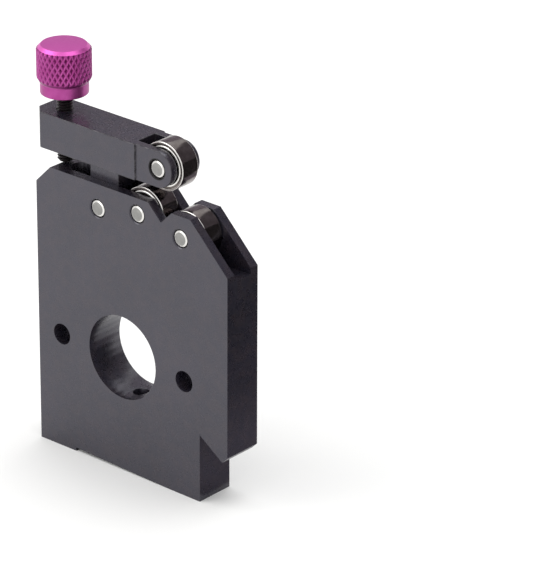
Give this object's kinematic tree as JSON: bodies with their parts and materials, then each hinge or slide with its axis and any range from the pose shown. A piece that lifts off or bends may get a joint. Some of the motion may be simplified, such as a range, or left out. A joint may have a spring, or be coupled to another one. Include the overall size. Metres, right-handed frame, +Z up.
{
  "type": "three-roller clamp block",
  "caption": "Flat upright block that holds a small round workpiece between ball-bearing rollers, with a screw-adjusted clamp arm and a knurled knob.",
  "frame": {"origin": "axis of the plate's centre bore at the plate's mid-thickness", "axes": "+Z up, with the base 31.5 mm below the origin; +X from the knob's side towards the open roller slot; +Y from the front face to the rear face, along every roller axis"},
  "size_m": [0.0654, 0.0138, 0.1074],
  "materials": {
    "black_anodise": "black anodised, semi-gloss over fine milling marks",
    "purple_anodise": "purple anodised, satin, knurled band",
    "ground_steel": "ground dowel ends with bright bevels",
    "bearing_steel": "polished bearing steel",
    "shield_steel": "pressed sheet, dull",
    "cage_brass": "machined",
    "black_oxide": "black oxide, oiled"
  },
  "bodies": {
    "frame": {"body_plate": "black_anodise", "pivot_pin": "ground_steel", "left_axle_pin": "ground_steel", "right_axle_pin": "ground_steel", "left_inner_ring": "bearing_steel", "right_inner_ring": "bearing_steel"},
    "arm": {"clamp_arm": "black_anodise", "arm_axle_pin": "ground_steel", "arm_inner_ring": "bearing_steel"},
    "stud": {"adjusting_stud": "black_oxide"},
    "knob": {"thumb_knob": "purple_anodise"},
    "left_roller": {"left_outer_ring": "bearing_steel", "left_front_shield": "shield_steel", "left_rear_shield": "shield_steel"},
    "right_roller": {"right_outer_ring": "bearing_steel", "right_front_shield": "shield_steel", "right_rear_shield": "shield_steel"},
    "arm_roller": {"arm_outer_ring": "bearing_steel", "arm_front_shield": "shield_steel", "arm_rear_shield": "shield_steel"},
    "left_ball_set": {"left_balls": "bearing_steel", "left_cage": "cage_brass"},
    "right_ball_set": {"right_balls": "bearing_steel", "right_cage": "cage_brass"},
    "arm_ball_set": {"arm_balls": "bearing_steel", "arm_cage": "cage_brass"}
  },
  "joints": [
    {"name": "arm_pivot", "type": "hinge", "parent": "frame", "child": "arm", "pos_m": [-0.0078, 0, 0.0381], "axis": [0, -1, 0], "range_deg": [-10.45, 14.93]},
    {"name": "screw_travel", "type": "slide", "parent": "arm", "child": "stud", "axis": [0, 0, 1], "range_m": [-0.00278, 0.00397]},
    {"name": "knob_turn", "type": "hinge", "parent": "stud", "child": "knob", "pos_m": [-0.02365, 0, 0.0685], "axis": [0, 0, 1], "range_deg": [-1260, 1800]},
    {"name": "left_roller_spin", "type": "hinge", "parent": "frame", "child": "left_roller", "pos_m": [0.0054, 0, 0.0404], "axis": [0, 1, 0], "continuous": true},
    {"name": "right_roller_spin", "type": "hinge", "parent": "frame", "child": "right_roller", "pos_m": [0.0196, 0, 0.038], "axis": [0, 1, 0], "continuous": true},
    {"name": "arm_roller_spin", "type": "hinge", "parent": "arm", "child": "arm_roller", "pos_m": [0.0118, 0, 0.054], "axis": [0, 1, 0], "continuous": true},
    {"name": "left_cage_spin", "type": "hinge", "parent": "frame", "child": "left_ball_set", "pos_m": [0.0054, 0, 0.0404], "axis": [0, 1, 0], "continuous": true},
    {"name": "right_cage_spin", "type": "hinge", "parent": "frame", "child": "right_ball_set", "pos_m": [0.0196, 0, 0.038], "axis": [0, 1, 0], "continuous": true},
    {"name": "arm_cage_spin", "type": "hinge", "parent": "arm", "child": "arm_ball_set", "pos_m": [0.0118, 0, 0.054], "axis": [0, 1, 0], "continuous": true}
  ],
  "couplings": [
    {"joint": "knob_turn", "follows": "arm_pivot", "ratio": 120.48},
    {"joint": "screw_travel", "follows": "arm_pivot", "m_per_rad": 0.01522},
    {"joint": "left_cage_spin", "follows": "left_roller_spin", "ratio": 0.63462},
    {"joint": "right_cage_spin", "follows": "right_roller_spin", "ratio": 0.63462},
    {"joint": "arm_cage_spin", "follows": "arm_roller_spin", "ratio": 0.63462}
  ]
}
